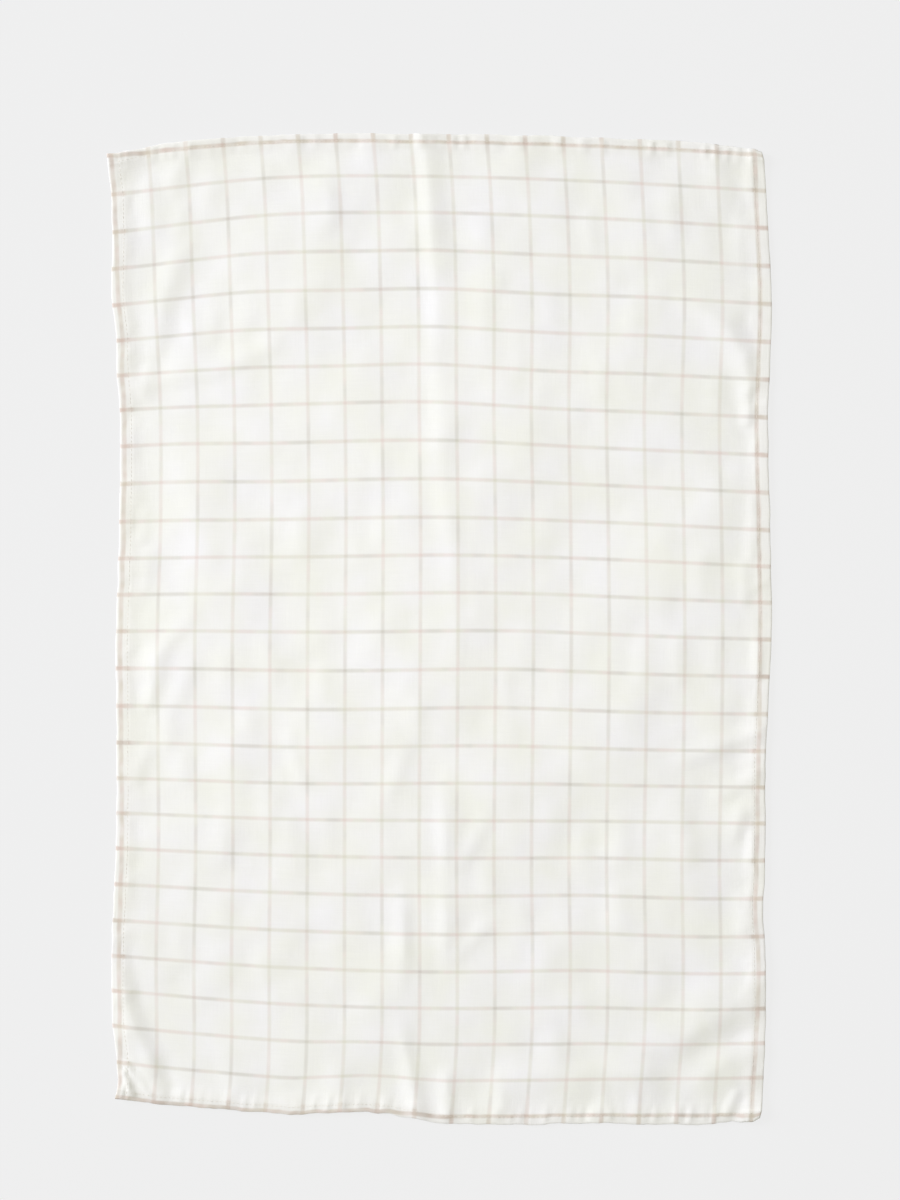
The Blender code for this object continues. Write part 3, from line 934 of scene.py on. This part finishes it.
def linen_material():
    """Plain-woven linen, bleached, with yarn-dyed lines: a matt, dry surface whose slubs and hairy yarns
    break the light up, so that it looks soft white with a faint grain rather than smooth."""
    material, tree = new_material("linen, plain weave")
    weave = add_node(tree, "ShaderNodeUVMap", uv_map="weave")
    place = add_node(tree, "ShaderNodeSeparateXYZ", {"Vector": weave}).outputs
    hem = add_node(tree, "ShaderNodeAttribute", attribute_name="hem").outputs["Fac"]
    on_hem = add_node(tree, MATH, {0: hem, 1: HEM_ONLY}, operation="POWER")
    cloudy = {}
    for name, (across, down, scale, detail, start) in CLOUDS.items():
        spot = add_node(tree, "ShaderNodeMapping", {
            "Vector": weave, "Location": (start, start, start), "Scale": (across, down, 1.0)})
        cloudy[name] = add_node(tree, "ShaderNodeTexNoise", {
            "Vector": spot, "Scale": scale, "Detail": detail}, noise_dimensions="2D")
    share = {name: add_node(tree, RANGE, {"Value": cloudy[name], **limits})
             for name, limits in SHARES.items()}

    # For each direction: 1 on a line of the check and 0 between lines, and the yarns' own waves.
    half_wide = add_node(tree, MATH, {
        0: hem, 1: HEM_SPREAD, 2: (LINE_WIDE - LINE_DRIFT) / 2}, operation="MULTIPLY_ADD")
    line, yarns = {}, {}
    for name, axis in (("warp", "X"), ("weft", "Y")):
        moved = add_node(tree, MATH, {0: place[axis], 1: 0.5}, operation="ADD")
        part = add_node(tree, MATH, {0: moved}, operation="FRACT")
        side = add_node(tree, MATH, {0: part, 1: 0.5}, operation="SUBTRACT")
        off = add_node(tree, MATH, {0: side}, operation="ABSOLUTE")
        off_mm = add_node(tree, MATH, {0: off, 1: CHECK}, operation="MULTIPLY")
        edge = add_node(tree, MATH, {
            0: cloudy[name + " slubs"], 1: LINE_DRIFT, 2: half_wide}, operation="MULTIPLY_ADD")
        past = add_node(tree, MATH, {0: off_mm, 1: edge}, operation="SUBTRACT")
        line[name] = add_node(tree, RANGE, {"Value": past, **LINE_FADE}, interpolation_type="SMOOTHSTEP")
        wave = add_node(tree, MATH, {0: place[axis], 1: YARN_WAVE}, operation="MULTIPLY")
        yarns[name] = add_node(tree, MATH, {0: wave}, operation="SINE")

    # How much dyed yarn shows.
    # Painted shade: on the hems the lines grow darker in dashed stretches, in place of the puckers' shadows.
    strong = add_node(tree, MATH, {0: on_hem, 1: share["painted_shade_dashes"], 2: LINE_STRONG}, operation="MULTIPLY_ADD")
    warp = add_node(tree, MATH, {0: line["warp"], 1: WARP_FAINTER}, operation="MULTIPLY")
    single = add_node(tree, MATH, {0: warp, 1: line["weft"]}, operation="MAXIMUM")
    crossing = add_node(tree, MATH, {0: line["warp"], 1: line["weft"]}, operation="MULTIPLY")
    lines = add_node(tree, MATH, {0: single, 1: strong}, operation="MULTIPLY")
    whole = add_node(tree, MATH, {
        0: crossing, 1: CROSSING_MORE, 2: lines}, operation="MULTIPLY_ADD", use_clamp=True)
    taken = add_node(tree, MATH, {
        0: cloudy["fading"], 1: DYE_VARIES, 2: DYE_LEAST}, operation="MULTIPLY_ADD")
    dyed = add_node(tree, MATH, {0: whole, 1: taken}, operation="MULTIPLY", use_clamp=True)

    # Each colour is laid over the ones before it in its own places.
    # Painted shade: the hems and the cloth just beside them take a darker, creamier white.
    thick = add_node(tree, MATH, {0: hem, 1: HEM_SHADE_SHARE}, operation="MULTIPLY")
    # Partly painted shade: the lines on the hems take a deeper, darker colour.
    deep = add_node(tree, MATH, {0: on_hem, 1: HEM_DEEP_AND_SHADE}, operation="MULTIPLY")
    white, dye = colour(WHITE_WARM), colour(LINE_PINK)
    for where, tint in ((share["bleach"], WHITE_COOL), (thick, HEM_PAINTED_SHADE)):
        white = add_node(tree, MIX, {"Factor": where, "A": white, "B": colour(tint)}, data_type="RGBA")
    for where, tint in ((share["dye"], LINE_SAND), (share["fading"], LINE_GREY), (deep, LINE_DEEP_AND_SHADE)):
        dye = add_node(tree, MIX, {"Factor": where, "A": dye, "B": colour(tint)}, data_type="RGBA")
    cloth = add_node(tree, MIX, {"Factor": dyed, "A": white, "B": dye}, data_type="RGBA")
    slubs = add_node(tree, MATH, {0: cloudy["warp slubs"], 1: cloudy["weft slubs"]}, operation="ADD")
    grain = add_node(tree, RANGE, {"Value": slubs, **GRAIN})
    grained = add_node(tree, MIX, {
        "Factor": 1.0, "A": cloth, "B": grain}, data_type="RGBA", blend_type="MULTIPLY")

    # The crowns of the yarns stand up where they cross, and the slubs more.
    crossed = add_node(tree, MATH, {0: yarns["warp"], 1: yarns["weft"]}, operation="MULTIPLY")
    crowns = add_node(tree, MATH, {0: crossed}, operation="ABSOLUTE")
    surface = add_node(tree, MATH, {0: crowns, 1: 0.5, 2: slubs}, operation="MULTIPLY_ADD")
    bump = add_node(tree, "ShaderNodeBump", {"Strength": 0.35, "Distance": 0.12 * MM, "Height": surface})
    shader = add_node(tree, "ShaderNodeBsdfPrincipled", {
        "Base Color": grained, "Normal": bump, "Roughness": 0.92, "IOR": 1.45, "Specular IOR Level": 0.25,
        "Sheen Weight": 0.12, "Sheen Roughness": 0.6})
    add_node(tree, "ShaderNodeOutputMaterial", {"Surface": shader})
    return material


def thread_material():
    """Spun cotton sewing thread: off-white and matt, with the fine slant of its twist drawn in bands of
    painted light and painted shade, and kept darker than the linen as painted shade of the stitching's
    groove.
    """
    material, tree = new_material("cotton sewing thread")
    spot = add_node(tree, "ShaderNodeTexCoord").outputs["Object"]
    twist = add_node(tree, "ShaderNodeTexWave", {
        "Vector": spot, "Scale": TWIST, "Distortion": 0.4}, bands_direction="DIAGONAL")
    # Painted light and painted shade along the thread's twist.
    painted_twist_shade = add_node(tree, MIX, {
        "Factor": twist, "A": colour(THREAD_PAINTED_SHADE), "B": colour(THREAD_PAINTED_LIGHT)}, data_type="RGBA")
    bump = add_node(tree, "ShaderNodeBump", {"Strength": 0.4, "Distance": 0.05 * MM, "Height": twist})
    shader = add_node(tree, "ShaderNodeBsdfPrincipled", {
        "Base Color": painted_twist_shade, "Normal": bump, "Roughness": 0.8, "Sheen Weight": 0.1})
    add_node(tree, "ShaderNodeOutputMaterial", {"Surface": shader})
    return material


def floor_material():
    """Matt painted board, pale grey, that glows a little so that it stays even."""
    material, tree = new_material("pale studio floor")
    shader = add_node(tree, "ShaderNodeBsdfPrincipled", {
        "Base Color": colour("#4D4D4D"), "Roughness": 1.0, "Specular IOR Level": 0.0,
        "Emission Color": colour("#FFFFFF"), "Emission Strength": 0.79})
    add_node(tree, "ShaderNodeOutputMaterial", {"Surface": shader})
    return material


# --- Studio -------------------------------------------------------------------
FLOOR_REACH = 9.0           # in metres, as all sizes from here on are unless they say otherwise
ROOM_TINT = "#FFFEF6"
ROOM_LIGHT = 0.27           # the light that the room around gives
ROOM_SEEN = 0.86            # and how bright it looks past the floor's far edge, as pale as the floor

# Soft boxes: place, side, power in watts, tint.
LIGHTS = {
    "overhead": ((-0.08, 0.03, 1.3), 0.8, 6.45, "#FFFCF1"),
    "key": ((-7.0, 2.8, 3.5), 3.3, 790.0, "#EEF1FF"),
}

CAMERA_LENS = 85.0          # in millimetres, on the usual 36 mm sensor
SENSOR = 36.0
VIEW_LONG = 0.8634          # the height of table that the view takes in
CAMERA_RIGHT = 0.0077       # the towel lies a little left of and below the middle of the view
CAMERA_UP = 0.0210


def make_floor():
    """The pale table that the towel lies on."""
    bpy.ops.mesh.primitive_circle_add(vertices=96, radius=FLOOR_REACH, fill_type="NGON", location=(0, 0, 0))
    floor = bpy.context.object
    floor.name = "floor"
    floor.data.transform(floor.matrix_world)
    floor.matrix_world.identity()
    floor.data.materials.append(floor_material())
    return floor


def make_studio():
    """The room's own light and the soft boxes, which all point at the middle of the towel."""
    scene = bpy.context.scene
    scene.view_settings.view_transform = "Standard"
    world = bpy.data.worlds.new("studio")
    world.use_nodes = True
    tree = world.node_tree
    tree.nodes.clear()
    seen = add_node(tree, "ShaderNodeLightPath").outputs["Is Camera Ray"]
    strength = add_node(tree, RANGE, {"Value": seen, "To Min": ROOM_LIGHT, "To Max": ROOM_SEEN})
    room = add_node(tree, "ShaderNodeBackground", {"Color": colour(ROOM_TINT), "Strength": strength})
    add_node(tree, "ShaderNodeOutputWorld", {"Surface": room})
    scene.world = world
    for name, (spot, side, power, tint) in LIGHTS.items():
        light = bpy.data.lights.new(name, "AREA")
        light.color = colour(tint)[:3]
        light.shape = "RECTANGLE"
        light.size = light.size_y = side
        light.energy = power
        lamp = bpy.data.objects.new(name, light)
        lamp.location = spot
        lamp.rotation_euler = (-Vector(spot)).to_track_quat("-Z", "Y").to_euler()
        lamp.visible_camera = False
        scene.collection.objects.link(lamp)


def make_camera():
    """A camera straight above the towel."""
    camera = bpy.data.objects.new("camera", bpy.data.cameras.new("camera"))
    camera.data.lens = CAMERA_LENS
    camera.data.sensor_width = SENSOR
    camera.location = (CAMERA_RIGHT, CAMERA_UP, CAMERA_LENS * VIEW_LONG / SENSOR)
    bpy.context.scene.collection.objects.link(camera)
    bpy.context.scene.camera = camera


def main():
    """Make the studio and the towel, and attach the towel's pieces to the root body."""
    make_camera()
    make_studio()
    floor = make_floor()
    cloth = make_cloth(linen_material())
    stitching = make_stitching(thread_material())
    for piece in (cloth, stitching):
        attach(piece, "root")
    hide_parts("towel")
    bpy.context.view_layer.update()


main()
